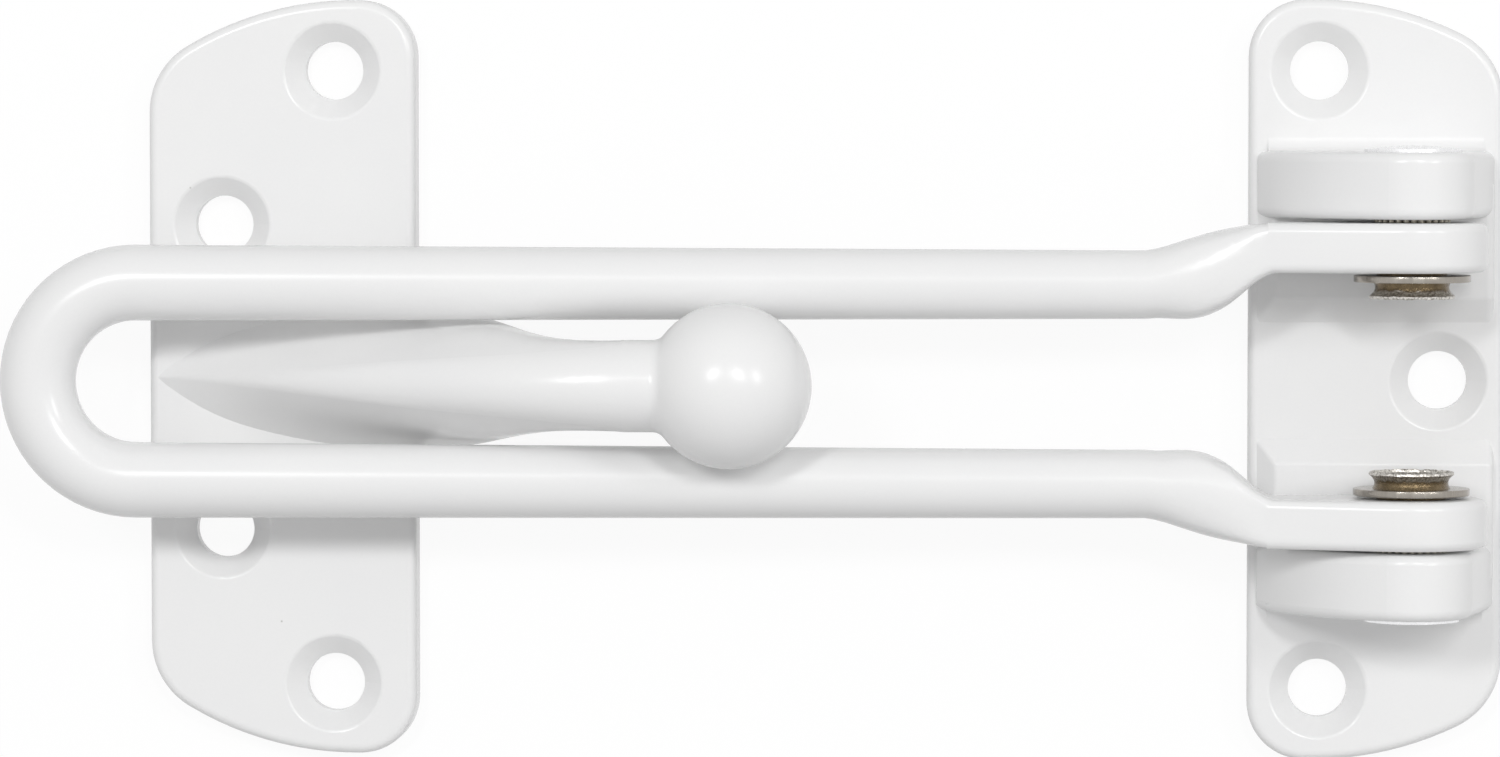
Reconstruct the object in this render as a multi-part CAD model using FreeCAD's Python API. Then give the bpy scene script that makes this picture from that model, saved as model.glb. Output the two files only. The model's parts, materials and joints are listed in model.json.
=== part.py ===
"""Swing bar door guard: a frame bracket, a hairpin bar on two rivets, and a door plate with a ball arm.

Millimetres. Z points away from the door, and both castings lie flat on the plane z = 0.
The origin is on that plane, on the axis of the frame bracket's middle screw hole.
X runs from the door to the frame, and the guard is a mirror image of itself about y = 0.
"""
import FreeCAD
import Part
import math
import os

# Both cast plates
plate_height = 66.4
plate_thickness = 3.0
crown_radius = 29.0
crown_start = 5.5
inner_corner_radius = 5.0
outer_corner_radius = 6.8
plate_edge_radius = 0.8

# Countersunk screw holes, for a 90 degree screw head
screw_hole_radius = 2.55
countersink_radius = 4.25
countersink_rim_radius = 0.4
screw_pitch = 54.0

# Frame bracket
bracket_width = 22.1
bracket_inner_x = -16.5
bracket_screw_x = -10.35
pivot_x = -2.6
eye_floor_clearance = 0.3

# Raised pads under the bar's eyes
pad_rise = 1.2
pad_slope = 2.1
pad_end_slope = 1.6
pad_gap = 10.2
pad_edge_radius = 0.7

# Lugs that hold the rivets
lug_thickness = 5.75
lug_crown_radius = 5.4
lug_slope_radius = 20.0
lug_toe_rise = 0.4
lug_edge_radius = 0.9
lug_root_radius = 1.2

# Swing bar: a tapered round bar bent to a hairpin, with flat eyes at its ends
leg_pitch = 17.16
loop_rod_radius = 3.3
leg_end_radius = 2.95
loop_centre_x = -113.0
leg_end_x = -25.4
eye_radius = 6.5
eye_thickness = 4.25
eye_outer_y = 13.95
eye_edge_radius = 0.8
eye_neck_length = 11.5
eye_neck_half_height = 3.6
eye_neck_inset = 0.03

# Rivets and washers
rivet_radius = 3.0
rivet_head_radius = 4.15
rivet_head_rise = 0.3
rivet_head_edge = 0.25
knurl_depth = 0.25
knurl_teeth = 28
flare_radius = 3.65
flare_height = 1.45
flare_lip = 0.25
flare_foot_radius = 3.35
flare_waist_radius = 3.18
rivet_bore_radius = 1.7
rivet_bore_depth = 2.6
washer_radius = 5.0
washer_thickness = 0.6

# Running clearances
rivet_running_clearance = 0.05
eye_side_clearance = 0.05
washer_gap = 0.25
lug_gap = 0.3
ball_clearance = 0.3
arm_side_clearance = 0.35

# Door plate and its ball arm
door_plate_width = 23.6
door_plate_inner_x = -89.5
door_screw_x = -96.8
door_inner_screw_x = -106.6
door_inner_screw_pitch = 26.9
ball_radius = 7.1
ball_x = -60.9
neck_radius = 3.95
neck_length = 9.0
ball_root_radius = 1.2
arm_tip_inset = 0.5
arm_tip_half_width = 0.85
arm_tip_radius = 0.25
arm_flank_swell = 5.0
neck_swell = 40.0
arm_sink = 0.4
arm_belly = 0.6

# Levels and places that follow from the sizes above
half_pitch = leg_pitch / 2
pad_top = plate_thickness + pad_rise
pivot_z = pad_top + eye_floor_clearance + eye_radius
eye_inner_y = eye_outer_y - eye_thickness
lug_inner_y = eye_outer_y + lug_gap
lug_outer_y = lug_inner_y + lug_thickness
bracket_outer_x = bracket_inner_x + bracket_width
door_plate_outer_x = door_plate_inner_x - door_plate_width
knurl_radius = rivet_radius + knurl_depth
leg_slope = (loop_rod_radius - leg_end_radius) / (leg_end_x - loop_centre_x)
leg_radius_at_ball = loop_rod_radius - leg_slope * (ball_x - loop_centre_x)
ball_reach = ball_radius + leg_radius_at_ball + ball_clearance
ball_z = pivot_z + math.sqrt(ball_reach ** 2 - half_pitch ** 2)
arm_half_width = half_pitch - loop_rod_radius - arm_side_clearance

# Faces nearer than this count as the same face when solids are joined
join_tolerance = 0.001

UP = FreeCAD.Vector(0, 0, 1)


def vector(x, y, z):
    return FreeCAD.Vector(x, y, z)


def mirrored(shape):
    """The same shape on the other side of the plane y = 0."""
    return shape.mirror(vector(0, 0, 0), vector(0, 1, 0))


def fused(first, others):
    """One solid from several, with seams that agree to within the join tolerance taken as one."""
    return first.multiFuse(others, join_tolerance).removeSplitter()


def cast_plate(inner_x, outer_x):
    """A flat plate with a straight inner edge and ends that curve down to its outer edge."""
    outward = 1 if outer_x > inner_x else -1
    crown_x = inner_x + outward * crown_start
    centre_y = plate_height / 2 - crown_radius

    def crown_point(x):
        return centre_y + math.sqrt(crown_radius ** 2 - (x - crown_x) ** 2)

    inner_y = crown_point(inner_x)
    outer_y = crown_point(outer_x)
    top = vector(crown_x, plate_height / 2, 0)
    bottom = vector(crown_x, -plate_height / 2, 0)
    edges = [
        Part.Arc(vector(inner_x, inner_y, 0), top, vector(outer_x, outer_y, 0)).toShape(),
        Part.makeLine(vector(outer_x, outer_y, 0), vector(outer_x, -outer_y, 0)),
        Part.Arc(vector(outer_x, -outer_y, 0), bottom, vector(inner_x, -inner_y, 0)).toShape(),
        Part.makeLine(vector(inner_x, -inner_y, 0), vector(inner_x, inner_y, 0)),
    ]
    plate = Part.Face(Part.Wire(edges)).extrude(UP * plate_thickness)
    for corner_x, radius in ((inner_x, inner_corner_radius), (outer_x, outer_corner_radius)):
        corners = [edge for edge in plate.Edges if is_upright_at(edge, corner_x)]
        plate = plate.makeFillet(radius, corners)
    top_face = max(plate.Faces, key=lambda face: face.CenterOfMass.z)
    return plate.makeFillet(plate_edge_radius, top_face.Edges)


def is_upright_at(edge, x):
    box = edge.BoundBox
    upright = box.ZLength > plate_thickness / 2
    return upright and abs(box.XMin - x) < 1e-6 and abs(box.XMax - x) < 1e-6


def screw_hole(x, y):
    """The cutter for one countersunk hole through a plate."""
    sink_depth = countersink_radius - screw_hole_radius
    bore = Part.makeCylinder(screw_hole_radius, plate_thickness, vector(x, y, 0))
    sink_base = vector(x, y, plate_thickness - sink_depth)
    sink = Part.makeCone(screw_hole_radius, countersink_radius, sink_depth, sink_base)
    return bore.fuse(sink)


def is_sink_rim(edge):
    """The round edge where a countersink meets the face of a plate."""
    box = edge.BoundBox
    flat_on_plate = abs(box.ZMin - plate_thickness) < 1e-4 and box.ZLength < 1e-4
    return flat_on_plate and abs(edge.Length - 2 * math.pi * countersink_radius) < 1e-3


def cut_screw_holes(plate, places):
    """Cuts the holes and eases their rims, as paint does."""
    cut = plate.cut([screw_hole(x, y) for x, y in places])
    return cut.makeFillet(countersink_rim_radius, [edge for edge in cut.Edges if is_sink_rim(edge)])


def flat_rectangle(x_low, x_high, y_low, y_high, z):
    corners = [
        vector(x_low, y_low, z),
        vector(x_high, y_low, z),
        vector(x_high, y_high, z),
        vector(x_low, y_high, z),
    ]
    return Part.makePolygon(corners + corners[:1])


def raised_pad():
    """The low pad with sloping sides that lies under one eye of the bar, beside its lug."""
    inner_x = bracket_inner_x + plate_edge_radius
    outer_x = bracket_outer_x - plate_edge_radius
    inner_y = pad_gap / 2
    outer_y = lug_inner_y + lug_thickness / 2
    foot = flat_rectangle(inner_x, outer_x, inner_y, outer_y, plate_thickness)
    top_inner_x = inner_x + pad_end_slope
    top = flat_rectangle(top_inner_x, outer_x, inner_y + pad_slope, outer_y, pad_top)
    pad = Part.makeLoft([foot, top], True, True)
    rims = [edge for edge in pad.Edges if is_pad_rim(edge, outer_y)]
    return pad.makeFillet(pad_edge_radius, rims)


def is_pad_rim(edge, outer_y):
    """Edges of a pad that stand above the plate and aren't buried in the lug."""
    box = edge.BoundBox
    return box.ZMax > plate_thickness and box.YMin < outer_y - 1e-4


def heel_touch(point_x, point_z):
    """Where the straight line from the heel touches the lug's crown."""
    across = pivot_x - point_x
    up = pivot_z - point_z
    distance = math.hypot(across, up)
    aim = math.atan2(up, across) - math.asin(lug_crown_radius / distance)
    reach = math.sqrt(distance ** 2 - lug_crown_radius ** 2)
    return vector(point_x + reach * math.cos(aim), lug_inner_y, point_z + reach * math.sin(aim))


def slope_arc(toe):
    """The wide arc that rises from the lug's toe and runs smoothly into its crown."""
    pivot = vector(pivot_x, toe.y, pivot_z)
    toward = pivot - toe
    distance = toward.Length
    toward.normalize()
    aside = vector(toward.z, 0, -toward.x)
    inner_reach = lug_slope_radius - lug_crown_radius
    along = (lug_slope_radius ** 2 - inner_reach ** 2 + distance ** 2) / (2 * distance)
    centre = toe + toward * along + aside * math.sqrt(lug_slope_radius ** 2 - along ** 2)
    outward = pivot - centre
    outward.normalize()
    front = pivot + outward * lug_crown_radius
    middle = (toe + front) * 0.5 - centre
    middle.normalize()
    return Part.Arc(toe, centre + middle * lug_slope_radius, front).toShape(), front


def lug():
    """One upright lug: round about the pivot, with a long curved slope to the inner edge."""
    toe_x = bracket_inner_x + plate_edge_radius
    heel_x = bracket_outer_x - plate_edge_radius
    toe_z = plate_thickness + lug_toe_rise
    foot_z = plate_thickness / 2
    y = lug_inner_y
    toe = vector(toe_x, y, toe_z)
    heel = vector(heel_x, y, plate_thickness)
    slope, front = slope_arc(toe)
    back = heel_touch(heel_x, plate_thickness)
    crown = vector(pivot_x, y, pivot_z + lug_crown_radius)
    toe_foot = vector(toe_x, y, foot_z)
    heel_foot = vector(heel_x, y, foot_z)
    edges = [
        Part.makeLine(toe_foot, toe),
        slope,
        Part.Arc(front, crown, back).toShape(),
        Part.makeLine(back, heel),
        Part.makeLine(heel, heel_foot),
        Part.makeLine(heel_foot, toe_foot),
    ]
    solid = Part.Face(Part.Wire(edges)).extrude(vector(0, lug_thickness, 0))
    rims = [edge for edge in solid.Edges if is_lug_rim(edge)]
    return solid.makeFillet(lug_edge_radius, rims)


def is_lug_rim(edge):
    """Edges round a lug's two sides that rise well above the plate."""
    box = edge.BoundBox
    return box.YLength < 1e-6 and box.ZMax > (plate_thickness + pivot_z) / 2


def lug_root():
    """The hollow fillet between a lug's outer side and the plate."""
    sink = lug_root_radius / 2
    low = plate_thickness
    x = bracket_inner_x + plate_edge_radius + lug_edge_radius
    length = bracket_width - 2 * (plate_edge_radius + lug_edge_radius)
    outer = lug_outer_y + lug_root_radius
    high = low + lug_root_radius
    bulge = lug_root_radius * (1 - math.sqrt(0.5))
    arc = Part.Arc(
        vector(x, outer, low),
        vector(x, lug_outer_y + bulge, low + bulge),
        vector(x, lug_outer_y, high),
    )
    corners = [
        vector(x, lug_outer_y, high),
        vector(x, lug_outer_y - sink, high),
        vector(x, lug_outer_y - sink, low - sink),
        vector(x, outer, low - sink),
        vector(x, outer, low),
    ]
    section = Part.Wire([arc.toShape()] + Part.makePolygon(corners).Edges)
    return Part.Face(section).extrude(vector(length, 0, 0))


def pivot_cylinder(radius, y_from, y_to):
    """A cylinder along the pivot axis."""
    base = vector(pivot_x, y_from, pivot_z)
    return Part.makeCylinder(radius, y_to - y_from, base, vector(0, 1, 0))


def frame_bracket():
    plate = cast_plate(bracket_inner_x, bracket_outer_x)
    upper_side = [raised_pad(), lug(), lug_root()]
    lower_side = [mirrored(shape) for shape in upper_side]
    casting = fused(plate, upper_side + lower_side)
    rivet_hole = pivot_cylinder(knurl_radius, lug_inner_y, lug_outer_y)
    casting = casting.cut([rivet_hole, mirrored(rivet_hole)])
    half_screw_pitch = screw_pitch / 2
    places = [(0, 0), (bracket_screw_x, half_screw_pitch), (bracket_screw_x, -half_screw_pitch)]
    return cut_screw_holes(casting, places)


def bar_section(x, y_inner, y_outer, half_height, flatness):
    """A closed smooth section across the bar: an ellipse at 0, the eye's rounded oblong at 1."""
    y_centre = (y_inner + y_outer) / 2
    half_width = (y_outer - y_inner) / 2
    side = half_height - eye_edge_radius
    end = half_width - eye_edge_radius
    round_length = math.pi / 2 * eye_edge_radius
    quarter_length = side + round_length + end
    # A quarter of the oblong, as pairs of a length along its edge and a point on it
    quarter = [(0, half_width, 0), (side / 2, half_width, side / 2)]
    for step in range(5):
        turn = math.pi / 2 * step / 4
        quarter.append((
            side + round_length * step / 4,
            end + eye_edge_radius * math.cos(turn),
            side + eye_edge_radius * math.sin(turn),
        ))
    quarter.append((side + round_length + end / 2, end / 2, half_height))
    blended = []
    for length, oblong_across, oblong_up in quarter:
        angle = math.pi / 2 * length / quarter_length
        across = half_width * math.cos(angle) * (1 - flatness) + oblong_across * flatness
        up = half_height * math.sin(angle) * (1 - flatness) + oblong_up * flatness
        blended.append((across, up))
    top = [(0, half_height)]
    upper_left = [(-across, up) for across, up in reversed(blended)]
    lower_left = [(-across, -up) for across, up in blended[1:]]
    lower_right = [(across, -up) for across, up in reversed(blended[1:])]
    outline = blended + top + upper_left + lower_left + [(0, -half_height)] + lower_right
    curve = Part.BSplineCurve()
    points = [vector(x, y_centre + across, pivot_z + up) for across, up in outline]
    curve.interpolate(Points=points, PeriodicFlag=True)
    return Part.Wire(curve.toShape())


def crank():
    """The stretch where a leg steps out and flattens, from round bar to flat eye."""
    length = pivot_x - eye_neck_length - leg_end_x
    leg_inner = half_pitch - leg_end_radius
    leg_outer = half_pitch + leg_end_radius
    eye_inner = eye_inner_y + eye_neck_inset
    eye_outer = eye_outer_y - eye_neck_inset
    neck_height = eye_neck_half_height - eye_neck_inset
    # Share of the length, of the inner step, of the outer step and of the height, then flatness
    stages = [
        (0.0, 0.0, 0.0, 0.0, 0.0),
        (0.25, 0.0, 0.3, 0.05, 0.08),
        (0.45, 0.06, 0.6, 0.2, 0.25),
        (0.72, 0.5, 0.87, 0.55, 0.6),
        (0.9, 0.9, 0.98, 0.84, 0.92),
        (1.0, 1.0, 1.0, 1.0, 1.0),
        (1.1, 1.0, 1.0, 1.0, 1.0),
    ]
    sections = []
    for along, inner_share, outer_share, height_share, flatness in stages:
        x = leg_end_x + along * length
        y_inner = leg_inner + inner_share * (eye_inner - leg_inner)
        y_outer = leg_outer + outer_share * (eye_outer - leg_outer)
        half_height = leg_end_radius + height_share * (neck_height - leg_end_radius)
        sections.append(bar_section(x, y_inner, y_outer, half_height, flatness))
    return Part.makeLoft(sections, True, False)


def eye():
    """The flat eye: a disc about the pivot that narrows to the crank, with rounded rims."""
    neck_x = pivot_x - eye_neck_length
    distance = eye_neck_length
    spread = math.asin((eye_radius - eye_neck_half_height) / distance)
    touch_x = pivot_x - eye_radius * math.sin(spread)
    touch_z = eye_radius * math.cos(spread)
    end_x = neck_x - eye_neck_half_height * math.sin(spread)
    end_z = eye_neck_half_height * math.cos(spread)
    y = eye_inner_y
    upper_end = vector(end_x, y, pivot_z + end_z)
    lower_end = vector(end_x, y, pivot_z - end_z)
    upper_touch = vector(touch_x, y, pivot_z + touch_z)
    lower_touch = vector(touch_x, y, pivot_z - touch_z)
    tip = vector(pivot_x + eye_radius, y, pivot_z)
    edges = [
        Part.makeLine(lower_end, upper_end),
        Part.makeLine(upper_end, upper_touch),
        Part.Arc(upper_touch, tip, lower_touch).toShape(),
        Part.makeLine(lower_touch, lower_end),
    ]
    solid = Part.Face(Part.Wire(edges)).extrude(vector(0, eye_thickness, 0))
    rims = [edge for edge in solid.Edges if edge.BoundBox.YLength < 1e-6 and edge.BoundBox.XLength > 1e-6]
    return solid.makeFillet(eye_edge_radius, rims)


def swing_bar():
    loop_centre = vector(loop_centre_x, 0, pivot_z)
    ring = Part.makeTorus(half_pitch, loop_rod_radius, loop_centre, UP)
    reach = half_pitch + 2 * loop_rod_radius
    far_half = vector(loop_centre_x - reach, -reach, pivot_z - reach)
    loop = ring.common(Part.makeBox(reach, 2 * reach, 2 * reach, far_half))
    leg_base = vector(loop_centre_x, half_pitch, pivot_z)
    leg_length = leg_end_x - loop_centre_x
    leg = Part.makeCone(loop_rod_radius, leg_end_radius, leg_length, leg_base, vector(1, 0, 0))
    upper_side = [leg, crank(), eye()]
    lower_side = [mirrored(shape) for shape in upper_side]
    bar = fused(loop, upper_side + lower_side)
    hole_radius = rivet_radius + rivet_running_clearance
    hole = pivot_cylinder(hole_radius, eye_inner_y - eye_thickness, eye_outer_y + eye_thickness)
    return bar.cut([hole, mirrored(hole)])


def knurl():
    """The straight-knurled length of a rivet that is pressed into the lug."""
    start_y = eye_outer_y + eye_side_clearance
    points = []
    for step in range(2 * knurl_teeth):
        radius = knurl_radius if step % 2 == 0 else rivet_radius
        angle = math.pi * step / knurl_teeth
        points.append(vector(pivot_x + radius * math.cos(angle), start_y, pivot_z + radius * math.sin(angle)))
    outline = Part.Face(Part.makePolygon(points + points[:1]))
    return outline.extrude(vector(0, lug_outer_y - start_y, 0))


def rivet():
    """A tubular rivet: low domed head outside the lug, knurled shank, and an end flared over the washer."""
    seat_y = eye_inner_y - washer_gap - washer_thickness
    end_y = seat_y - flare_height
    bore_end_y = end_y + rivet_bore_depth

    def at(radius, y):
        return vector(pivot_x + radius, y, pivot_z)

    rim_y = lug_outer_y + rivet_head_edge
    dome_radius = (rivet_head_radius ** 2 + rivet_head_rise ** 2) / (2 * rivet_head_rise)
    half_reach = rivet_head_radius / 2
    half_drop = dome_radius - math.sqrt(dome_radius ** 2 - half_reach ** 2)
    top_y = rim_y + rivet_head_rise
    dome = Part.Arc(at(0, top_y), at(half_reach, top_y - half_drop), at(rivet_head_radius, rim_y))
    shank = [
        at(rivet_head_radius, rim_y),
        at(rivet_head_radius, lug_outer_y),
        at(rivet_radius, lug_outer_y),
        at(rivet_radius, seat_y),
        at(flare_foot_radius, seat_y),
    ]
    lip_top = at(flare_radius, end_y + flare_lip)
    waist = at(flare_waist_radius, (seat_y + end_y) / 2)
    flare = Part.Arc(shank[-1], waist, lip_top)
    bore = [
        lip_top,
        at(flare_radius, end_y),
        at(flare_radius - flare_lip, end_y),
        at(rivet_bore_radius, seat_y),
        at(rivet_bore_radius, bore_end_y),
        at(0, bore_end_y),
        at(0, top_y),
    ]
    edges = [dome.toShape()] + Part.makePolygon(shank).Edges
    edges += [flare.toShape()] + Part.makePolygon(bore).Edges
    section = Part.Face(Part.Wire(edges))
    body = section.revolve(at(0, 0), vector(0, 1, 0), 360)
    return fused(body, [knurl()])


def washer():
    outer_y = eye_inner_y - washer_gap
    inner_y = outer_y - washer_thickness
    disc = pivot_cylinder(washer_radius, inner_y, outer_y)
    hole_radius = rivet_radius + rivet_running_clearance
    return disc.cut(pivot_cylinder(hole_radius, inner_y, outer_y))


def arm_section(x, half_width, corner_z, top_z, belly_z, ridge_radius, swell):
    """A section across the arm: a belly arc, two flanks that swell by an angle, and a round ridge."""
    ridge_z = top_z - ridge_radius
    corner_aim = math.atan2(corner_z - ridge_z, half_width)
    corner_distance = math.hypot(corner_z - ridge_z, half_width)
    straight_turn = math.acos(min(1, ridge_radius / corner_distance))
    turn = corner_aim + straight_turn + math.radians(swell)
    outward = vector(0, math.cos(turn), math.sin(turn))
    corner = vector(x, half_width, corner_z)
    shoulder = vector(x, 0, ridge_z) + outward * ridge_radius
    chord = corner - shoulder
    flank_radius = -chord.dot(chord) / (2 * chord.dot(outward))
    flank_centre = shoulder - outward * flank_radius
    middle = (corner + shoulder) * 0.5 - flank_centre
    middle.normalize()
    flank = flank_centre + middle * flank_radius

    def left(point):
        return vector(point.x, -point.y, point.z)

    arcs = [
        Part.Arc(left(corner), vector(x, 0, belly_z), corner),
        Part.Arc(corner, flank, shoulder),
        Part.Arc(shoulder, vector(x, 0, top_z), left(shoulder)),
        Part.Arc(left(shoulder), left(flank), left(corner)),
    ]
    return Part.Wire([arc.toShape() for arc in arcs])


def ball_arm():
    """The arm: a pointed ridge on the plate that climbs and rounds off into the ball's neck."""
    tip_x = door_plate_outer_x + arm_tip_inset
    neck_x = ball_x - neck_length
    climb = neck_x - tip_x
    foot_z = plate_thickness - arm_sink
    neck_half_width = neck_radius * math.cos(math.radians(30))
    neck_corner_z = ball_z - neck_radius / 2
    neck_top_z = ball_z + neck_radius
    neck_belly_z = ball_z - neck_radius
    tip_top_z = plate_thickness - arm_sink / 4
    # Share of the climb, and the foot's width there as a share of the room between the legs
    widths = [
        (0.07, 0.52),
        (0.14, 0.8),
        (0.21, 0.98),
        (0.3, 1.14),
        (0.42, 1.26),
        (0.54, 1.28),
        (0.62, 1.22),
        (0.69, 1.12),
        (0.77, 0.94),
        (0.86, 0.76),
        (0.93, 0.71),
    ]
    sections = [arm_section(
        tip_x, arm_tip_half_width, foot_z, tip_top_z, foot_z - arm_belly, arm_tip_radius, arm_flank_swell,
    )]
    for along, width_share in widths:
        ridge_share = math.sin(math.pi / 2 * along) ** 1.25
        past_plate = max(0, 2 * along - 1)
        under_share = past_plate ** 2 * (3 - 2 * past_plate)
        corner_z = foot_z + under_share * (neck_corner_z - foot_z)
        belly_depth = arm_belly + under_share * (neck_radius / 2 - arm_belly)
        sections.append(arm_section(
            tip_x + along * climb,
            width_share * arm_half_width,
            corner_z,
            plate_thickness + ridge_share * (neck_top_z - plate_thickness),
            corner_z - belly_depth,
            arm_tip_radius + along * (neck_radius - arm_tip_radius),
            arm_flank_swell + along ** 4 * (neck_swell - arm_flank_swell),
        ))
    sections.append(arm_section(
        neck_x, neck_half_width, neck_corner_z, neck_top_z, neck_belly_z, neck_radius, neck_swell,
    ))
    return Part.makeLoft(sections, True, False)


def neck_and_ball():
    """The round neck and the ball, with a small hollow between them, turned about the neck's axis."""
    def at(x, radius):
        return vector(x, 0, ball_z - radius)

    root_distance = ball_radius + ball_root_radius
    root_height = neck_radius + ball_root_radius
    root_x = ball_x - math.sqrt(root_distance ** 2 - root_height ** 2)
    root_centre = at(root_x, root_height)
    ball_centre = at(ball_x, 0)
    to_ball = ball_centre - root_centre
    to_ball.normalize()
    to_neck = ball_centre - at(ball_x, 1)
    to_middle = to_ball + to_neck
    to_middle.normalize()
    neck_start = at(ball_x - neck_length, 0)
    neck_edge = at(ball_x - neck_length, neck_radius)
    neck_end = at(root_x, neck_radius)
    touch = root_centre + to_ball * ball_root_radius
    front = at(ball_x + ball_radius, 0)
    edges = [
        Part.makeLine(neck_start, neck_edge),
        Part.makeLine(neck_edge, neck_end),
        Part.Arc(neck_end, root_centre + to_middle * ball_root_radius, touch).toShape(),
        Part.Arc(touch, at(ball_x, ball_radius), front).toShape(),
        Part.makeLine(front, neck_start),
    ]
    section = Part.Face(Part.Wire(edges))
    return section.revolve(ball_centre, vector(1, 0, 0), 360)


def door_plate():
    plate = cast_plate(door_plate_inner_x, door_plate_outer_x)
    casting = fused(plate, [ball_arm(), neck_and_ball()])
    places = []
    for x, pitch in ((door_screw_x, screw_pitch), (door_inner_screw_x, door_inner_screw_pitch)):
        places += [(x, pitch / 2), (x, -pitch / 2)]
    return cut_screw_holes(casting, places)


upper_rivet = rivet()
upper_washer = washer()
nodes = {
    "frame_bracket": frame_bracket(),
    "door_plate": door_plate(),
    "swing_bar": swing_bar(),
    "upper_rivet": upper_rivet,
    "lower_rivet": mirrored(upper_rivet),
    "upper_washer": upper_washer,
    "lower_washer": mirrored(upper_washer),
}

os.makedirs("parts", exist_ok=True)
for name, shape in nodes.items():
    shape.exportStep("parts/" + name + ".step")
    box = shape.BoundBox
    print(
        name,
        "valid", shape.isValid(),
        "solids", len(shape.Solids),
        "volume", round(shape.Volume, 1),
        "from", [round(value, 2) for value in (box.XMin, box.YMin, box.ZMin)],
        "to", [round(value, 2) for value in (box.XMax, box.YMax, box.ZMax)],
    )
print("pivot height", round(pivot_z, 3), "ball height", round(ball_z, 3), "ball at", ball_x)
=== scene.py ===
# %% [markdown]
# # A swing bar door guard in white paint
# The guard has a bracket that is screwed to the door frame, a hairpin bar that swings on two rivets,
# and a plate on the door whose ball arm runs in the bar's slot.
# The solids come from CAD, and this lesson gives them their finishes, their light and their camera.
# The solids stay where they are, so everything below is in metres in their frame: Z points out of the
# door, X runs along the bar, and both castings lie on the plane z = 0.

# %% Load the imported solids
import json
import math

import bmesh
import bpy
from mathutils import Matrix, Vector, noise


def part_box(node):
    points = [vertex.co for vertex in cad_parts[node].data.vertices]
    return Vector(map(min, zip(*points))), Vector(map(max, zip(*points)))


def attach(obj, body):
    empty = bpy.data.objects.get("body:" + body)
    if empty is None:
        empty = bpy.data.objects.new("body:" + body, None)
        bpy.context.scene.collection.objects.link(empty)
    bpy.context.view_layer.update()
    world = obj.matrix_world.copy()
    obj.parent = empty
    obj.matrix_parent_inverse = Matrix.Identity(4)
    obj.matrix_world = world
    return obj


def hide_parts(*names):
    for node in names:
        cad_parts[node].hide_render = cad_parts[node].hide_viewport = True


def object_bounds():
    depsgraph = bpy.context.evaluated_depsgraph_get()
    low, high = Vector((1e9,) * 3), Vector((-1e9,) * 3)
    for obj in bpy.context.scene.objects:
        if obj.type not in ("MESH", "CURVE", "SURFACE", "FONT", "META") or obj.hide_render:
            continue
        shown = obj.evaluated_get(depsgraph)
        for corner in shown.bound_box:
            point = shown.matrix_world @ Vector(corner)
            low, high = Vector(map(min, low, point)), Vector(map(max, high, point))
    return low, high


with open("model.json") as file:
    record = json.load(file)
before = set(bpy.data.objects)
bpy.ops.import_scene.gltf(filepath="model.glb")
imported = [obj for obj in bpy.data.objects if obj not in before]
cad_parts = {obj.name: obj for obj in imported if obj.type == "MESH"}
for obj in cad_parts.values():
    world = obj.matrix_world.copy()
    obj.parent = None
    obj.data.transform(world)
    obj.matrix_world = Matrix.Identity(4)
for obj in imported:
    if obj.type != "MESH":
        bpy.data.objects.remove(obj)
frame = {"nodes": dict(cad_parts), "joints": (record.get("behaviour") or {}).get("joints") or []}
cad_low, cad_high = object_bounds()
MILLIMETRE = 0.001
print("nodes:", sorted(frame["nodes"]))
print("box in mm:", [round(side / MILLIMETRE, 1) for side in cad_high - cad_low])

# %% [markdown]
# ## Helpers for the finishes
# Colours are written as sRGB hex values, as a paint shop would give them, and Blender works in linear
# light, so one function turns the first into the second. A second function turns the real size of a
# grain into a texture's scale. A third adds a node with its settings, its values and its links.

# %% Helpers for the finishes
def linear(hex_colour):
    """An sRGB hex colour as linear red, green, blue and alpha."""
    shares = [int(hex_colour[place:place + 2], 16) / 255 for place in (1, 3, 5)]
    bent = [share / 12.92 if share <= 0.04045 else ((share + 0.055) / 1.055) ** 2.4 for share in shares]
    return (*bent, 1.0)


def grain(size_mm):
    """The texture scale whose features are about this size, in millimetres."""
    return 1 / (size_mm * MILLIMETRE)


def add_node(tree, kind, settings=None, inputs=None):
    """Adds a node. An input is given a value, or a link where it is given another node's output."""
    made = tree.nodes.new(kind)
    for name, value in (settings or {}).items():
        setattr(made, name, value)
    for name, value in (inputs or {}).items():
        if isinstance(value, bpy.types.NodeSocket):
            tree.links.new(value, made.inputs[name])
        else:
            made.inputs[name].default_value = value
    return made


def new_material(name):
    """An empty node material and its tree."""
    material = bpy.data.materials.new(name)
    material.use_nodes = True
    material.node_tree.nodes.clear()
    return material, material.node_tree


def close_material(tree, shader):
    add_node(tree, "ShaderNodeOutputMaterial", inputs={"Surface": shader.outputs[0]})


print("white paint as linear light:", [round(share, 3) for share in linear("#F0F0EF")])

# %% [markdown]
# ## White powder coat
# The bracket, the bar and the door plate are zinc castings, sprayed with white powder and baked.
# Baked powder is a plastic skin: it isn't metal, its gloss is soft, and it dries with a faint orange
# peel. A flat white would look like paper, so the colour drifts a little from place to place, the
# gloss varies with it, and a few dust specks sit in the skin.
# The peel is a shallow noise bump. It could be modelled, but at a few hundredths of a millimetre it
# only shows in the highlights.

# %% Dust under the paint
SPECK_SHARE = 0.08


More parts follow.
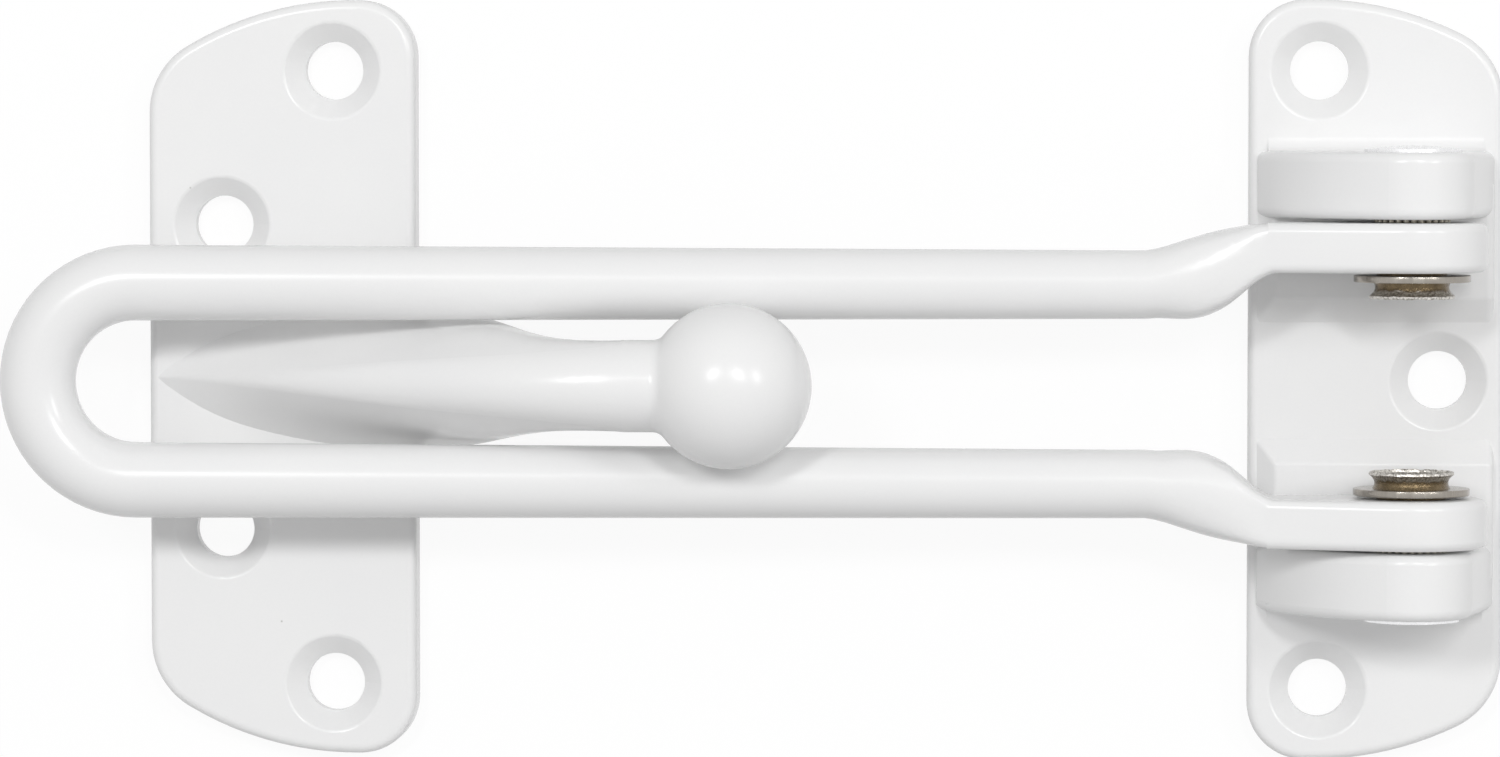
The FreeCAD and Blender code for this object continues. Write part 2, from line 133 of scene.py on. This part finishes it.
def dust_specks(tree, place):
    """One where a speck of dust lies under the skin, and nought elsewhere."""
    # The skin falls into small cells, and a small share of them holds a speck
    cells = add_node(tree, "ShaderNodeTexVoronoi", {"feature": "F1"}, {
        "Vector": place, "Scale": grain(2.6), "Randomness": 1.0,
    })
    near = add_node(tree, "ShaderNodeMapRange", inputs={
        "Value": cells.outputs["Distance"], "From Min": 0.03, "From Max": 0.055,
        "To Min": 1.0, "To Max": 0.0,
    })
    picked = add_node(tree, "ShaderNodeSeparateColor", inputs={"Color": cells.outputs["Color"]})
    chosen = add_node(tree, "ShaderNodeMath", {"operation": "GREATER_THAN"}, {
        0: picked.outputs["Red"], 1: 1 - SPECK_SHARE,
    })
    speck = add_node(tree, "ShaderNodeMath", {"operation": "MULTIPLY"}, {
        0: near.outputs["Result"], 1: chosen.outputs["Value"],
    })
    return speck.outputs["Value"]


print("one cell in", round(1 / SPECK_SHARE, 1), "holds a speck")


# %% White powder coat
def white_powder_coat():
    """Baked polyester powder: near-white, half gloss, with orange peel and a few dust specks."""
    material, tree = new_material("white_powder_coat")
    place = add_node(tree, "ShaderNodeTexCoord").outputs["Object"]
    drift = add_node(tree, "ShaderNodeTexNoise", inputs={
        "Vector": place, "Scale": grain(9), "Detail": 2.0, "Roughness": 0.5,
    })
    # A fine grain breaks up the steps that a slow drift would show
    fine = add_node(tree, "ShaderNodeTexNoise", inputs={
        "Vector": place, "Scale": grain(0.25), "Detail": 2.0, "Roughness": 0.6,
    })
    shade = add_node(tree, "ShaderNodeMix", {"data_type": "FLOAT"}, {
        "Factor": 0.5, "A": drift.outputs["Fac"], "B": fine.outputs["Fac"],
    })
    colour = add_node(tree, "ShaderNodeMix", {"data_type": "RGBA"}, {
        "Factor": shade.outputs["Result"], "A": linear("#EDEDEE"), "B": linear("#F3F3F2"),
    })
    specked = add_node(tree, "ShaderNodeMix", {"data_type": "RGBA"}, {
        "Factor": dust_specks(tree, place), "A": colour.outputs["Result"], "B": linear("#C4C3C1"),
    })
    gloss = add_node(tree, "ShaderNodeMapRange", inputs={
        "Value": drift.outputs["Fac"], "From Min": 0.3, "From Max": 0.7, "To Min": 0.22, "To Max": 0.26,
    })
    peel = add_node(tree, "ShaderNodeTexNoise", inputs={
        "Vector": place, "Scale": grain(1.6), "Detail": 1.0, "Roughness": 0.4,
    })
    bump = add_node(tree, "ShaderNodeBump", inputs={
        "Height": peel.outputs["Fac"], "Strength": 0.1, "Distance": 0.02 * MILLIMETRE,
    })
    shader = add_node(tree, "ShaderNodeBsdfPrincipled", inputs={
        "Base Color": specked.outputs["Result"],
        "Roughness": gloss.outputs["Result"],
        "Normal": bump.outputs["Normal"],
        "IOR": 1.45,
    })
    close_material(tree, shader)
    return material


paint = white_powder_coat()
print("made", paint.name, "with", len(paint.node_tree.nodes), "nodes")

# %% Paint the bracket and the door plate
for name in ("frame_bracket", "door_plate"):
    frame["nodes"][name].data.materials.clear()
    frame["nodes"][name].data.materials.append(paint)
    print("painted", name)

# %% [markdown]
# ## The bar's skin
# The solid bar has a seam along the top of each leg, and its shading breaks there, where real powder
# flows over in one skin. The seam could be turned out of sight in the solid, but a merged copy closes
# every seam at once. So the bar is copied, its doubles are merged, and the copy stands for the solid.

# %% Coat the bar
# Points closer than this, in millimetres, become one
MERGE_DISTANCE = 0.001


def finished(name, shape, body, node, material, smooth_angle):
    """Turns a bmesh in millimetres into a piece that stands for a node."""
    bmesh.ops.scale(shape, vec=(MILLIMETRE, MILLIMETRE, MILLIMETRE), verts=shape.verts)
    bmesh.ops.recalc_face_normals(shape, faces=shape.faces)
    mesh = bpy.data.meshes.new(name)
    shape.to_mesh(mesh)
    shape.free()
    # A copied solid brings its own normals along, and a merged skin needs new ones
    if mesh.has_custom_normals:
        mesh.attributes.remove(mesh.attributes["custom_normal"])
    mesh.shade_smooth()
    mesh.set_sharp_from_angle(angle=math.radians(smooth_angle))
    mesh.materials.append(material)
    piece = bpy.data.objects.new(name, mesh)
    bpy.context.scene.collection.objects.link(piece)
    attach(piece, body)
    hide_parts(node)
    print(name, "has", len(mesh.polygons), "faces")


skin = bmesh.new()
skin.from_mesh(frame["nodes"]["swing_bar"].data)
loose_points = len(skin.verts)
bmesh.ops.scale(skin, vec=(1 / MILLIMETRE, 1 / MILLIMETRE, 1 / MILLIMETRE), verts=skin.verts)
bmesh.ops.remove_doubles(skin, verts=skin.verts, dist=MERGE_DISTANCE)
print("merged", loose_points, "points of the bar to", len(skin.verts))
finished(
    "swing_bar_coated", skin, body="swing_bar", node="swing_bar", material=paint,
    smooth_angle=40,
)

# %% [markdown]
# ## Rivets
# Each rivet is a steel pin with a low domed head outside its lug, a straight knurl that bites into the
# lug, and a tubular end that was rolled outwards over the washer. Rolling tears the plating, so the lip
# is ragged. The solid rivet has the clean form, and a ragged lip is easier to model than to fake: half
# of the section is spun round the pivot, the knurl's teeth are cut into the spun rings, and noise moves
# the rings of the lip by a tenth of a millimetre or so.
# Sections are written in millimetres as pairs of a radius and a distance along the pivot.

# %% Sizes of the rivets
bar_swing = next(joint for joint in frame["joints"] if joint["name"] == "bar_swing")
PIVOT = Vector(bar_swing["pos_m"]) / MILLIMETRE
rivet_low, rivet_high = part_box("upper_rivet")
washer_low, washer_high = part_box("upper_washer")
RIVET_END = rivet_low.y / MILLIMETRE
RIVET_TOP = rivet_high.y / MILLIMETRE
RIVET_SEAT = washer_low.y / MILLIMETRE
SHANK_RADIUS = 3.0
HEAD_RADIUS = 4.15
HEAD_RISE = 0.3
HEAD_EDGE = 0.25
KNURL_DEPTH = 0.25
KNURL_TEETH = 28
KNURL_START = 14.0
FLARE_RADIUS = 3.65
FLARE_FOOT_RADIUS = 3.35
FLARE_WAIST_RADIUS = 3.18
FLARE_LIP = 0.25
BORE_RADIUS = 1.7
BORE_DEPTH = 2.6
KNURL_END = RIVET_TOP - HEAD_RISE - HEAD_EDGE
print("rivet from", round(RIVET_END, 2), "to", round(RIVET_TOP, 2), "mm")
print("seated on its washer at", round(RIVET_SEAT, 2), "mm")

# %% Section of a rivet
HEAD_STEPS = 6
FLARE_STEPS = 12
LIP_STEPS = 6
CONE_STEPS = 8


def rivet_section():
    """Half of a rivet's section, from the middle of its head to the bottom of its bore."""
    section = []
    for step in range(HEAD_STEPS + 1):
        share = step / HEAD_STEPS
        section.append((HEAD_RADIUS * share, RIVET_TOP - HEAD_RISE * share ** 2))
    section += [
        (HEAD_RADIUS, KNURL_END),
        (SHANK_RADIUS + KNURL_DEPTH, KNURL_END),
        (SHANK_RADIUS + KNURL_DEPTH, KNURL_START),
        (SHANK_RADIUS, KNURL_START),
        (SHANK_RADIUS, RIVET_SEAT),
    ]
    # The flare is drawn in to a waist, a parabola through its foot, its waist and its lip
    flare_height = RIVET_SEAT - RIVET_END - FLARE_LIP
    spread = FLARE_RADIUS - FLARE_FOOT_RADIUS
    draw = 4 * ((FLARE_FOOT_RADIUS + FLARE_RADIUS) / 2 - FLARE_WAIST_RADIUS)
    for step in range(FLARE_STEPS + 1):
        share = step / FLARE_STEPS
        section.append((
            FLARE_FOOT_RADIUS + spread * share - draw * share * (1 - share),
            RIVET_SEAT - flare_height * share,
        ))
    # The lip is half round
    for step in range(1, LIP_STEPS + 1):
        turn = math.pi * step / LIP_STEPS
        section.append((
            FLARE_RADIUS - FLARE_LIP / 2 * (1 - math.cos(turn)),
            RIVET_END + FLARE_LIP * (1 - math.sin(turn)),
        ))
    # Inside, the flare narrows in a cone to the bore
    cone_radius, cone_top = FLARE_RADIUS - FLARE_LIP, RIVET_END + FLARE_LIP
    for step in range(1, CONE_STEPS + 1):
        share = step / CONE_STEPS
        section.append((
            cone_radius + (BORE_RADIUS - cone_radius) * share,
            cone_top + (RIVET_SEAT - cone_top) * share,
        ))
    section += [
        (BORE_RADIUS, RIVET_END + BORE_DEPTH),
        (0, RIVET_END + BORE_DEPTH),
    ]
    return section


print("a rivet's section has", len(rivet_section()), "points")


# %% Spin a section round the pivot
def spun(section, steps):
    """A closed bmesh, in millimetres, of a section turned once round the pivot axis."""
    turned = bmesh.new()
    points = [turned.verts.new((PIVOT.x + radius, along, PIVOT.z)) for radius, along in section]
    lines = [turned.edges.new(pair) for pair in zip(points, points[1:])]
    bmesh.ops.spin(
        turned, geom=points + lines, cent=PIVOT, axis=(0, 1, 0), angle=2 * math.pi,
        steps=steps, use_merge=True,
    )
    bmesh.ops.remove_doubles(turned, verts=turned.verts, dist=MERGE_DISTANCE)
    bmesh.ops.recalc_face_normals(turned, faces=turned.faces)
    return turned


def around(place):
    """How far round the pivot a point is, in radians, and how far from it, in millimetres."""
    across = Vector((place.x - PIVOT.x, place.z - PIVOT.z))
    return math.atan2(across.y, across.x), across.length


def outward_at(angle):
    return Vector((math.cos(angle), 0, math.sin(angle)))


print("the pivot is", round(PIVOT.z, 2), "mm above the door")

# %% Teeth of the knurl
STEPS_PER_TOOTH = 6
RING_MARGIN = 0.01
# The roots stop just short of the shank, so that the two surfaces don't meet
KNURL_ROOT_SHARE = 0.95


def cut_knurl(turned):
    """Moves the rings of the knurl between the roots and the tips of its teeth."""
    for vert in turned.verts:
        angle, radius = around(vert.co)
        in_length = KNURL_START - RING_MARGIN < vert.co.y < KNURL_END + RING_MARGIN
        on_tips = SHANK_RADIUS + KNURL_DEPTH / 2 < radius <= SHANK_RADIUS + 2 * KNURL_DEPTH
        if in_length and on_tips:
            along_tooth = angle * KNURL_TEETH / (2 * math.pi) % 1.0
            drop = KNURL_ROOT_SHARE * KNURL_DEPTH * (1 - abs(2 * along_tooth - 1))
            vert.co -= outward_at(angle) * drop


print("a knurl tooth every", round(360 / KNURL_TEETH, 1), "degrees")

# %% Torn lip
TEAR_SIZE, TEAR_REACH = 0.9, 0.07
GRIT_SIZE, GRIT_REACH = 0.28, 0.08
NICK_SIZE, NICK_DEPTH = 0.5, 0.14


def tear_lip(turned, seed):
    """Roughens the rolled lip: coarse tears, finer grit on top of them, and nicks along its edge."""
    for vert in turned.verts:
        angle, radius = around(vert.co)
        near = 1 - (vert.co.y - RIVET_END) / (3 * FLARE_LIP)
        if near <= 0 or radius < BORE_RADIUS + FLARE_LIP:
            continue
        place = vert.co + Vector((0, seed, 0))
        coarse = noise.noise(place / TEAR_SIZE)
        fine = noise.noise(place / GRIT_SIZE)
        vert.co += outward_at(angle) * near * (TEAR_REACH * coarse + GRIT_REACH * fine)
        vert.co.y += near * max(0.0, NICK_DEPTH * noise.noise(place / NICK_SIZE))


print("the lip is torn by up to", round(TEAR_REACH + GRIT_REACH, 2), "mm")

# %% [markdown]
# ## Nickel plate
# The rivets were plated before they were rolled. The head is still bright, the knurl is darker at the
# roots of its teeth than at their tips, and the stretched neck of the flare has a warm brown stain. The
# inside of its tube is painted in the same brown as painted shade, and the torn lip is bare, with
# painted glints in its colour. Each place could have a material of its own, but real stains have no
# such borders. So one finish measures how far a point is along the pivot and from it, and mixes its
# colours by that.

# %% Where a point of a rivet is
def rivet_measures(tree):
    """A point's place, and how far it is along the pivot from the middle and away from the pivot."""
    place = add_node(tree, "ShaderNodeTexCoord").outputs["Object"]
    sides = add_node(tree, "ShaderNodeSeparateXYZ", inputs={"Vector": place})
    along = add_node(tree, "ShaderNodeMath", {"operation": "ABSOLUTE"}, {0: sides.outputs["Y"]})
    level = add_node(tree, "ShaderNodeCombineXYZ", inputs={
        "X": sides.outputs["X"], "Z": sides.outputs["Z"],
    })
    away = add_node(tree, "ShaderNodeVectorMath", {"operation": "DISTANCE"}, {
        0: level.outputs["Vector"], 1: (PIVOT.x * MILLIMETRE, 0, PIVOT.z * MILLIMETRE),
    })
    return place, along.outputs["Value"], away.outputs["Value"]


print("the pivot runs through x", round(PIVOT.x, 2), "and z", round(PIVOT.z, 2), "mm")

# %% Stained flare with a bare lip
# Lengths along the pivot from the lip's end, in millimetres
BARE_LENGTH = 0.8
BARE_FADE_END = 1.1
BARE_RAGGEDNESS = 0.5


def flare_colour(tree, place, along, away, grit):
    """The flare's colour: bare with painted glints at the lip, brown at the neck, the same brown as
    painted shade inside the tube, and where the lip ends.
    """
    stain = add_node(tree, "ShaderNodeTexNoise", inputs={
        "Vector": place, "Scale": grain(0.7), "Detail": 4.0, "Roughness": 0.7,
    })
    brown = add_node(tree, "ShaderNodeMix", {"data_type": "RGBA"}, {
        "Factor": stain.outputs["Fac"], "A": linear("#231A0F"), "B": linear("#8C7B60"),
    })
    # Painted glints: a contrasted grit pattern puts bright specks into the bare lip's colour
    painted_glint = add_node(tree, "ShaderNodeMapRange", inputs={
        "Value": grit, "From Min": 0.38, "From Max": 0.6,
    })
    bare = add_node(tree, "ShaderNodeMix", {"data_type": "RGBA"}, {
        "Factor": painted_glint.outputs["Result"], "A": linear("#8F8B84"), "B": linear("#E6E3DD"),
    })
    ragged = add_node(tree, "ShaderNodeMath", {"operation": "MULTIPLY_ADD"}, {
        0: stain.outputs["Fac"], 1: BARE_RAGGEDNESS * MILLIMETRE, 2: along,
    })
    past_lip = add_node(tree, "ShaderNodeMapRange", {"interpolation_type": "SMOOTHSTEP"}, {
        "Value": ragged.outputs["Value"],
        "From Min": (RIVET_END + BARE_LENGTH) * MILLIMETRE,
        "From Max": (RIVET_END + BARE_FADE_END) * MILLIMETRE,
    })
    outside = add_node(tree, "ShaderNodeMix", {"data_type": "RGBA"}, {
        "Factor": past_lip.outputs["Result"], "A": bare.outputs["Result"], "B": brown.outputs["Result"],
    })
    # Inside the tube, nearer to the pivot than the lip, the neck's brown is painted on as shade
    clear_of_painted_tube_shade = add_node(tree, "ShaderNodeMapRange", {"interpolation_type": "SMOOTHSTEP"}, {
        "Value": away,
        "From Min": (FLARE_RADIUS - 4 * FLARE_LIP) * MILLIMETRE,
        "From Max": (FLARE_RADIUS - FLARE_LIP) * MILLIMETRE,
    })
    flare = add_node(tree, "ShaderNodeMix", {"data_type": "RGBA"}, {
        "Factor": clear_of_painted_tube_shade.outputs["Result"], "A": brown.outputs["Result"],
        "B": outside.outputs["Result"],
    })
    return flare.outputs["Result"], past_lip.outputs["Result"]


print("bare metal fades out", BARE_LENGTH, "to", BARE_FADE_END, "mm from the lip's end")


# %% Darker roots of the knurl
def knurl_colour(tree, away):
    """Darker at the roots of the knurl's teeth and lighter at their tips."""
    past_root = add_node(tree, "ShaderNodeMapRange", inputs={
        "Value": away,
        "From Min": SHANK_RADIUS * MILLIMETRE,
        "From Max": (SHANK_RADIUS + KNURL_DEPTH) * MILLIMETRE,
    })
    knurl = add_node(tree, "ShaderNodeMix", {"data_type": "RGBA"}, {
        "Factor": past_root.outputs["Result"], "A": linear("#26231C"), "B": linear("#C4BEB0"),
    })
    return knurl.outputs["Result"]


print("knurl from", KNURL_START, "to", round(KNURL_END, 2), "mm along the pivot")

# %% Nickel plate
STAIN_PAST_SEAT = 0.3
HEAD_FADE = 0.5


def nickel_plate():
    """Nickel on steel: bright at the head, stained at the flare's neck, painted shade inside the tube,
    and bare and gritty at its lip with painted glints.
    """
    material, tree = new_material("nickel_plate_on_steel")
    place, along, away = rivet_measures(tree)
    grit = add_node(tree, "ShaderNodeTexNoise", inputs={
        "Vector": place, "Scale": grain(0.18), "Detail": 3.0, "Roughness": 0.7,
    }).outputs["Fac"]
    flare, past_lip = flare_colour(tree, place, along, away, grit)
    past_seat = add_node(tree, "ShaderNodeMapRange", {"interpolation_type": "SMOOTHSTEP"}, {
        "Value": along,
        "From Min": (RIVET_SEAT + STAIN_PAST_SEAT) * MILLIMETRE,
        "From Max": KNURL_START * MILLIMETRE,
    })
    shank = add_node(tree, "ShaderNodeMix", {"data_type": "RGBA"}, {
        "Factor": past_seat.outputs["Result"], "A": flare, "B": knurl_colour(tree, away),
    })
    at_head = add_node(tree, "ShaderNodeMapRange", inputs={
        "Value": along,
        "From Min": (KNURL_END - HEAD_FADE) * MILLIMETRE, "From Max": KNURL_END * MILLIMETRE,
    })
    colour = add_node(tree, "ShaderNodeMix", {"data_type": "RGBA"}, {
        "Factor": at_head.outputs["Result"], "A": shank.outputs["Result"], "B": linear("#EDEDEE"),
    })
    dullness = add_node(tree, "ShaderNodeMapRange", inputs={
        "Value": grit, "From Min": 0.3, "From Max": 0.7, "To Min": 0.16, "To Max": 0.36,
    })
    roughness = add_node(tree, "ShaderNodeMix", {"data_type": "FLOAT"}, {
        "Factor": past_lip, "A": 0.36, "B": dullness.outputs["Result"],
    })
    # The head was struck smooth, and the flare was torn
    torn = add_node(tree, "ShaderNodeMapRange", inputs={
        "Value": at_head.outputs["Result"], "To Min": 0.7, "To Max": 0.0,
    })
    bump = add_node(tree, "ShaderNodeBump", inputs={
        "Height": grit, "Strength": torn.outputs["Result"], "Distance": 0.06 * MILLIMETRE,
    })
    shader = add_node(tree, "ShaderNodeBsdfPrincipled", inputs={
        "Base Color": colour.outputs["Result"],
        "Metallic": 1.0,
        "Roughness": roughness.outputs["Result"],
        "Normal": bump.outputs["Normal"],
    })
    close_material(tree, shader)
    return material


nickel = nickel_plate()
print("made", nickel.name, "with", len(nickel.node_tree.nodes), "nodes")

# %% Make both rivets
TEAR_SEED = 40.0
for name, side in (("upper_rivet", 1), ("lower_rivet", -1)):
    pin = spun(rivet_section(), KNURL_TEETH * STEPS_PER_TOOTH)
    cut_knurl(pin)
    tear_lip(pin, TEAR_SEED * side)
    bmesh.ops.scale(pin, vec=(1, side, 1), verts=pin.verts)
    finished(
        name + "_rolled", pin, body="frame_bracket", node=name, material=nickel,
        smooth_angle=35,
    )

# %% [markdown]
# ## Washers
# The washers are blanked from bright sheet. The punch leaves fine shear lines across the rim and breaks
# its edges, and the eye finds a washer by the glints on them. The solid has sharp edges, which don't
# glint, so a ring is spun round the pivot and its rims are bevelled. The streaks of the rim run along
# the pivot.

# %% Bright sheet steel
def bright_sheet_steel():
    """Cold rolled sheet, blanked: a clean grey metal with shear lines across the rim."""
    material, tree = new_material("blanked_sheet_steel")
    place = add_node(tree, "ShaderNodeTexCoord").outputs["Object"]
    # The pattern is drawn out along the pivot, which is the Y axis
    drawn = add_node(tree, "ShaderNodeMapping", inputs={"Vector": place, "Scale": (1, 0.06, 1)})
    shear = add_node(tree, "ShaderNodeTexNoise", inputs={
        "Vector": drawn.outputs["Vector"], "Scale": grain(0.3), "Detail": 4.0, "Roughness": 0.7,
    })
    tarnish = add_node(tree, "ShaderNodeTexNoise", inputs={
        "Vector": place, "Scale": grain(3), "Detail": 3.0, "Roughness": 0.6,
    })
    warm = add_node(tree, "ShaderNodeMix", {"data_type": "RGBA"}, {
        "Factor": tarnish.outputs["Fac"], "A": linear("#92887C"), "B": linear("#BAB7B1"),
    })
    colour = add_node(tree, "ShaderNodeMix", {"data_type": "RGBA", "blend_type": "MULTIPLY"}, {
        "Factor": 0.3, "A": warm.outputs["Result"], "B": shear.outputs["Fac"],
    })
    dullness = add_node(tree, "ShaderNodeMapRange", inputs={
        "Value": shear.outputs["Fac"], "From Min": 0.3, "From Max": 0.7, "To Min": 0.15, "To Max": 0.3,
    })
    bump = add_node(tree, "ShaderNodeBump", inputs={
        "Height": shear.outputs["Fac"], "Strength": 0.5, "Distance": 0.03 * MILLIMETRE,
    })
    shader = add_node(tree, "ShaderNodeBsdfPrincipled", inputs={
        "Base Color": colour.outputs["Result"],
        "Metallic": 1.0,
        "Roughness": dullness.outputs["Result"],
        "Normal": bump.outputs["Normal"],
    })
    close_material(tree, shader)
    return material


steel = bright_sheet_steel()
print("made", steel.name, "with", len(steel.node_tree.nodes), "nodes")

# %% Make both washers
WASHER_RADIUS = 5.0
WASHER_HOLE_RADIUS = 3.05
WASHER_EDGE = 0.08
WASHER_STEPS = 128
# Edges that turn by more than this, in radians, are rims
SHARP_ANGLE = 1.0
washer_inner = washer_low.y / MILLIMETRE
washer_outer = washer_high.y / MILLIMETRE
for name, side in (("upper_washer", 1), ("lower_washer", -1)):
    ring = spun([
        (WASHER_HOLE_RADIUS, washer_inner),
        (WASHER_RADIUS, washer_inner),
        (WASHER_RADIUS, washer_outer),
        (WASHER_HOLE_RADIUS, washer_outer),
        (WASHER_HOLE_RADIUS, washer_inner),
    ], WASHER_STEPS)
    rims = [edge for edge in ring.edges if edge.calc_face_angle(0) > SHARP_ANGLE]
    bmesh.ops.bevel(
        ring, geom=rims, offset=WASHER_EDGE, affect="EDGES", segments=3, profile=0.5, material=-1,
    )
    bmesh.ops.scale(ring, vec=(1, side, 1), verts=ring.verts)
    finished(
        name + "_blanked", ring, body="frame_bracket", node=name, material=steel,
        smooth_angle=50,
    )

# %% [markdown]
# ## Floor and light
# A white sweep under the guard reads as white paper. It could be lit until it is white, but that light
# would fall on the guard as well. So the camera, and what shines, see it as mostly white, and a share
# of real diffuse light keeps the guard's soft shadow on it.

# %% White floor
def seen_directly(tree):
    """One where a ray comes from the camera, a shiny surface or glass, and nought elsewhere."""
    path = add_node(tree, "ShaderNodeLightPath")
    seen = add_node(tree, "ShaderNodeMath", {"operation": "MAXIMUM"}, {
        0: path.outputs["Is Camera Ray"], 1: path.outputs["Is Glossy Ray"],
    })
    through = add_node(tree, "ShaderNodeMath", {"operation": "MAXIMUM"}, {
        0: seen.outputs["Value"], 1: path.outputs["Is Transmission Ray"],
    })
    return through.outputs["Value"]


FLOOR_GLOW_SHARE = 0.8
FLOOR_GLOW = 1.15


def white_floor_material():
    """White card: what sees it directly sees mostly white, and the rest is real diffuse light."""
    material, tree = new_material("white_card_sweep")
    share = add_node(tree, "ShaderNodeMath", {"operation": "MULTIPLY"}, {
        0: seen_directly(tree), 1: FLOOR_GLOW_SHARE,
    })
    card = add_node(tree, "ShaderNodeBsdfDiffuse", inputs={"Color": linear("#ABABAB")})
    glow = add_node(tree, "ShaderNodeEmission", inputs={
        "Color": linear("#FFFFFF"), "Strength": FLOOR_GLOW,
    })
    both = add_node(tree, "ShaderNodeMixShader", inputs={
        0: share.outputs["Value"], 1: card.outputs["BSDF"], 2: glow.outputs["Emission"],
    })
    close_material(tree, both)
    return material


FLOOR_SIZE = 12.0
FLOOR_DROP = 0.05 * MILLIMETRE
floor_mesh = bpy.data.meshes.new("floor")
floor = bpy.data.objects.new("floor", floor_mesh)
sheet = bmesh.new()
bmesh.ops.create_grid(sheet, x_segments=1, y_segments=1, size=FLOOR_SIZE / 2)
bmesh.ops.translate(sheet, vec=(0, 0, -FLOOR_DROP), verts=sheet.verts)
sheet.to_mesh(floor_mesh)
sheet.free()
floor_mesh.materials.append(white_floor_material())
bpy.context.scene.collection.objects.link(floor)
print("floor", FLOOR_SIZE, "m across")

# %% [markdown]
# The sky gives the soft part of the light. It is dim across the middle of the guard and brighter
# towards its two ends, as between two white cards, so the long sides of the bar stay darker than its
# top. What sees it directly sees plain white.

# %% Sky of white card
SKY_MIDDLE = 0.34
SKY_ENDS = 0.73
world = bpy.data.worlds.new("studio")
bpy.context.scene.world = world
world.use_nodes = True
sky = world.node_tree
sky.nodes.clear()
direction = add_node(sky, "ShaderNodeTexCoord").outputs["Generated"]
heading = add_node(sky, "ShaderNodeSeparateXYZ", inputs={"Vector": direction})
to_end = add_node(sky, "ShaderNodeMath", {"operation": "ABSOLUTE"}, {0: heading.outputs["X"]})
soft = add_node(sky, "ShaderNodeMapRange", inputs={
    "Value": to_end.outputs["Value"], "To Min": SKY_MIDDLE, "To Max": SKY_ENDS,
})
strength = add_node(sky, "ShaderNodeMix", {"data_type": "FLOAT"}, {
    "Factor": seen_directly(sky), "A": soft.outputs["Result"], "B": 1.0,
})
glow = add_node(sky, "ShaderNodeBackground", inputs={
    "Color": linear("#FFFFFF"), "Strength": strength.outputs["Result"],
})
add_node(sky, "ShaderNodeOutputWorld", inputs={"Surface": glow.outputs["Background"]})
print("sky from", SKY_MIDDLE, "to", SKY_ENDS)

# %% [markdown]
# Three softboxes in a row stand above the upper side. One large lamp would be softer, but the ball
# would then carry one wide patch. Small ones give it three bright spots. A dim strip in the same row,
# long and thin, lays a soft line along each leg.

# %% Softboxes
GUARD_MIDDLE = (cad_low + cad_high) / 2
LAMP_DISTANCE = 0.9
LAMP_LEAN = 0.36


def softbox(name, direction, width, height, power):
    """A rectangular lamp that faces the middle of the guard."""
    lamp = bpy.data.lights.new(name, "AREA")
    lamp.shape = "RECTANGLE"
    lamp.size = width
    lamp.size_y = height
    lamp.energy = power
    holder = bpy.data.objects.new(name, lamp)
    aim = Vector(direction).normalized()
    holder.location = GUARD_MIDDLE + aim * LAMP_DISTANCE
    holder.rotation_mode = "QUATERNION"
    holder.rotation_quaternion = aim.to_track_quat("Z", "Y")
    bpy.context.scene.collection.objects.link(holder)


for name, across, power in (
    ("softbox_left", -0.34, 1.6),
    ("softbox_middle", 0.31, 1.4),
    ("softbox_right", 0.95, 0.9),
):
    softbox(name, (across, LAMP_LEAN, 1.0), width=0.2, height=0.08, power=power)
    print(name, "at", power, "W")
softbox("strip", (0.1, LAMP_LEAN, 1.0), width=0.9, height=0.015, power=0.5)

# %% [markdown]
# ## Camera
# The view is from almost straight above, through a long lens, from a little right of the middle and
# above it, so that a sliver of each upper side shows. A constraint could point it, but one that looks
# almost straight down may roll. So the camera's axes are worked out from where it stands and what it
# looks at, with the guard's Y axis upwards in the picture.

# %% Camera
CAMERA_PLACE = Vector((-23.9, 24.8, 546.5)) * MILLIMETRE
CAMERA_AIM = Vector((-60.2, -0.1, 0.0)) * MILLIMETRE
SENSOR_WIDTH = 36.0
FOCAL_LENGTH = 149.3
camera_data = bpy.data.cameras.new("camera")
camera_data.sensor_width = SENSOR_WIDTH
camera_data.lens = FOCAL_LENGTH
camera = bpy.data.objects.new("camera", camera_data)
backward = (CAMERA_PLACE - CAMERA_AIM).normalized()
rightward = Vector((0, 1, 0)).cross(backward).normalized()
upward = backward.cross(rightward)
turn = Matrix((rightward, upward, backward)).transposed()
camera.matrix_world = Matrix.Translation(CAMERA_PLACE) @ turn.to_4x4()
bpy.context.scene.collection.objects.link(camera)
bpy.context.scene.camera = camera
bpy.context.scene.view_settings.view_transform = "Standard"
print("camera at mm", [round(value / MILLIMETRE, 1) for value in CAMERA_PLACE])
